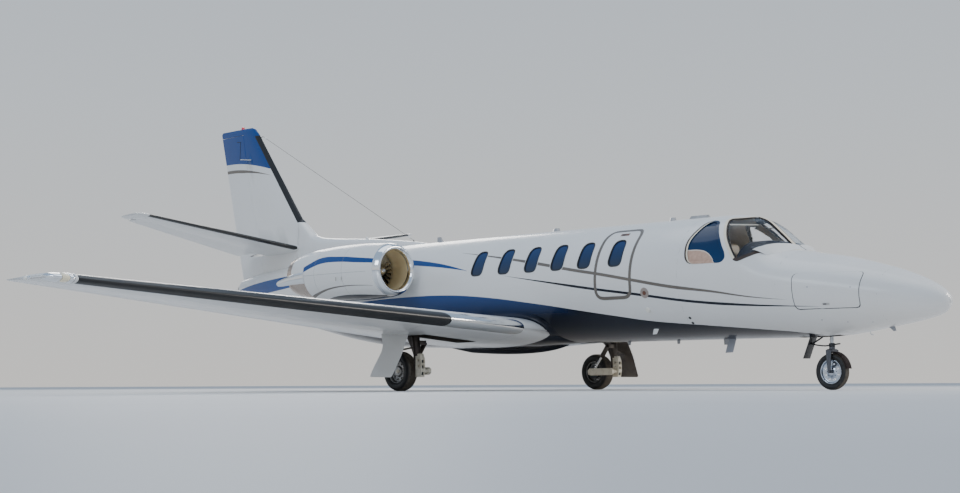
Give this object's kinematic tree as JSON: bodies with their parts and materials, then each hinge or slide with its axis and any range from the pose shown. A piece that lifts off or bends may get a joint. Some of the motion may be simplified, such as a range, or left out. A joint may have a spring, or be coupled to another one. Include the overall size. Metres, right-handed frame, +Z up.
{
  "type": "business jet",
  "caption": "Light business jet parked on its trailing link gear, with doors, control surfaces, flaps, fans, nose steering and wheels that move.",
  "frame": {"origin": "on the ground below the middle of the overall box, halfway along the length", "axes": "+X forward to the nose, +Y to port, +Z up"},
  "size_m": [14.402, 15.89, 4.606],
  "materials": {
    "white_paint": "gloss",
    "navy_paint": "gloss",
    "polished_metal": "polished",
    "gear_metal": "satin",
    "engine_metal": "satin",
    "dark_metal": "matte",
    "tyre_rubber": "matte",
    "seat_leather": "satin",
    "cabin_carpet": "matte",
    "panel_plastic": "matte",
    "window_acrylic": "polished"
  },
  "bodies": {
    "airframe": {"radome": "white_paint", "nose_bay": "white_paint", "cockpit_shell": "white_paint", "cabin_shell_forward": "white_paint", "cabin_shell_aft": "white_paint", "emergency_exit": "white_paint", "tail_cone": "white_paint", "wing_left": "white_paint", "wing_right": "white_paint", "tailplane": "white_paint", "fin": "white_paint", "nacelle_left": "white_paint", "nacelle_right": "white_paint", "pylon_left": "white_paint", "pylon_right": "white_paint", "main_gear_door_left": "white_paint", "main_gear_door_right": "white_paint", "belly_fairing": "navy_paint", "jet_pipe_left": "polished_metal", "jet_pipe_right": "polished_metal", "main_leg_left": "gear_metal", "main_leg_right": "gear_metal", "trailing_link_left": "gear_metal", "trailing_link_right": "gear_metal", "nose_leg": "gear_metal", "engine_core_left": "engine_metal", "engine_core_right": "engine_metal", "nose_gear_door": "dark_metal", "crew_seat_left": "seat_leather", "crew_seat_right": "seat_leather", "cabin_seat_front_left": "seat_leather", "cabin_seat_front_right": "seat_leather", "cabin_seat_rear_left": "seat_leather", "cabin_seat_rear_right": "seat_leather", "cabin_floor": "cabin_carpet", "instrument_panel": "panel_plastic", "windshield_left": "window_acrylic", "windshield_right": "window_acrylic", "cockpit_window_left": "window_acrylic", "cockpit_window_right": "window_acrylic"},
    "cabin_door": {"cabin_door": "white_paint"},
    "nose_baggage_door_left": {"nose_baggage_door_left": "white_paint"},
    "nose_baggage_door_right": {"nose_baggage_door_right": "white_paint"},
    "tail_baggage_door": {"tail_baggage_door": "white_paint"},
    "flap_left": {"flap_left": "white_paint"},
    "flap_right": {"flap_right": "white_paint"},
    "aileron_left": {"aileron_left": "white_paint"},
    "aileron_right": {"aileron_right": "white_paint"},
    "elevator_left": {"elevator_left": "white_paint"},
    "elevator_right": {"elevator_right": "white_paint"},
    "rudder": {"rudder": "white_paint"},
    "fan_left": {"fan_left": "engine_metal"},
    "fan_right": {"fan_right": "engine_metal"},
    "main_wheel_left": {"main_tyre_left": "tyre_rubber", "main_rim_left": "gear_metal"},
    "main_wheel_right": {"main_tyre_right": "tyre_rubber", "main_rim_right": "gear_metal"},
    "nose_steering": {"nose_fork": "gear_metal"},
    "nose_wheel": {"nose_tyre": "tyre_rubber", "nose_rim": "gear_metal"}
  },
  "joints": [
    {"name": "cabin_door_hinge", "type": "hinge", "parent": "airframe", "child": "cabin_door", "pos_m": [3.711, 0.814, 1.5], "axis": [0, 0, -1], "range_deg": [0, 105]},
    {"name": "nose_door_left_hinge", "type": "hinge", "parent": "airframe", "child": "nose_baggage_door_left", "pos_m": [6.301, 0.43, 1.4], "axis": [0.9395, -0.3426, 0], "range_deg": [0, 95]},
    {"name": "nose_door_right_hinge", "type": "hinge", "parent": "airframe", "child": "nose_baggage_door_right", "pos_m": [6.301, -0.43, 1.4], "axis": [-0.9395, -0.3426, 0], "range_deg": [0, 95]},
    {"name": "tail_door_hinge", "type": "hinge", "parent": "airframe", "child": "tail_baggage_door", "pos_m": [-2.149, 0.81, 1.33], "axis": [0.9988, 0.0485, 0], "range_deg": [0, 65]},
    {"name": "flap_left_hinge", "type": "hinge", "parent": "airframe", "child": "flap_left", "pos_m": [-0.72095, 1.08, 0.72281], "axis": [-0.0927, -0.9923, -0.0824], "range_deg": [0, 40]},
    {"name": "flap_right_hinge", "type": "hinge", "parent": "airframe", "child": "flap_right", "pos_m": [-0.72095, -1.08, 0.72281], "axis": [0.0927, -0.9923, 0.0824], "range_deg": [0, 40]},
    {"name": "aileron_left_hinge", "type": "hinge", "parent": "airframe", "child": "aileron_left", "pos_m": [-0.38824, 4.64, 1.06414], "axis": [0.0928, 0.9928, 0.0759], "range_deg": [-15, 19]},
    {"name": "aileron_right_hinge", "type": "hinge", "parent": "airframe", "child": "aileron_right", "pos_m": [-0.38824, -4.64, 1.06414], "axis": [-0.0928, 0.9928, -0.0759], "range_deg": [-19, 15]},
    {"name": "elevator_left_hinge", "type": "hinge", "parent": "airframe", "child": "elevator_left", "pos_m": [-5.7759, 0.29, 2.37002], "axis": [0.0265, 0.9866, 0.1612], "range_deg": [-9.5, 25.5]},
    {"name": "elevator_right_hinge", "type": "hinge", "parent": "airframe", "child": "elevator_right", "pos_m": [-5.7759, -0.29, 2.37002], "axis": [-0.0265, 0.9866, -0.1612], "range_deg": [-9.5, 25.5]},
    {"name": "rudder_hinge", "type": "hinge", "parent": "airframe", "child": "rudder", "pos_m": [-5.839, 0, 1.79], "axis": [-0.2527, 0, 0.9676], "range_deg": [-22, 22]},
    {"name": "fan_left_spin", "type": "hinge", "parent": "airframe", "child": "fan_left", "pos_m": [-1.5, 1.25, 1.765], "axis": [1, 0, 0], "continuous": true},
    {"name": "fan_right_spin", "type": "hinge", "parent": "airframe", "child": "fan_right", "pos_m": [-1.5, -1.25, 1.765], "axis": [1, 0, 0], "continuous": true},
    {"name": "main_wheel_left_spin", "type": "hinge", "parent": "airframe", "child": "main_wheel_left", "pos_m": [-0.129, 2.03, 0.272], "axis": [0, 1, 0], "continuous": true},
    {"name": "main_wheel_right_spin", "type": "hinge", "parent": "airframe", "child": "main_wheel_right", "pos_m": [-0.129, -2.03, 0.272], "axis": [0, 1, 0], "continuous": true},
    {"name": "nose_steering_pivot", "type": "hinge", "parent": "airframe", "child": "nose_steering", "pos_m": [5.553, 0, 0.5], "axis": [0, 0, 1], "range_deg": [-20, 20]},
    {"name": "nose_wheel_spin", "type": "hinge", "parent": "nose_steering", "child": "nose_wheel", "pos_m": [5.553, 0, 0.224], "axis": [0, 1, 0], "continuous": true}
  ],
  "couplings": [
    {"joint": "flap_right_hinge", "follows": "flap_left_hinge", "ratio": 1},
    {"joint": "aileron_right_hinge", "follows": "aileron_left_hinge", "ratio": -1},
    {"joint": "elevator_right_hinge", "follows": "elevator_left_hinge", "ratio": 1}
  ]
}
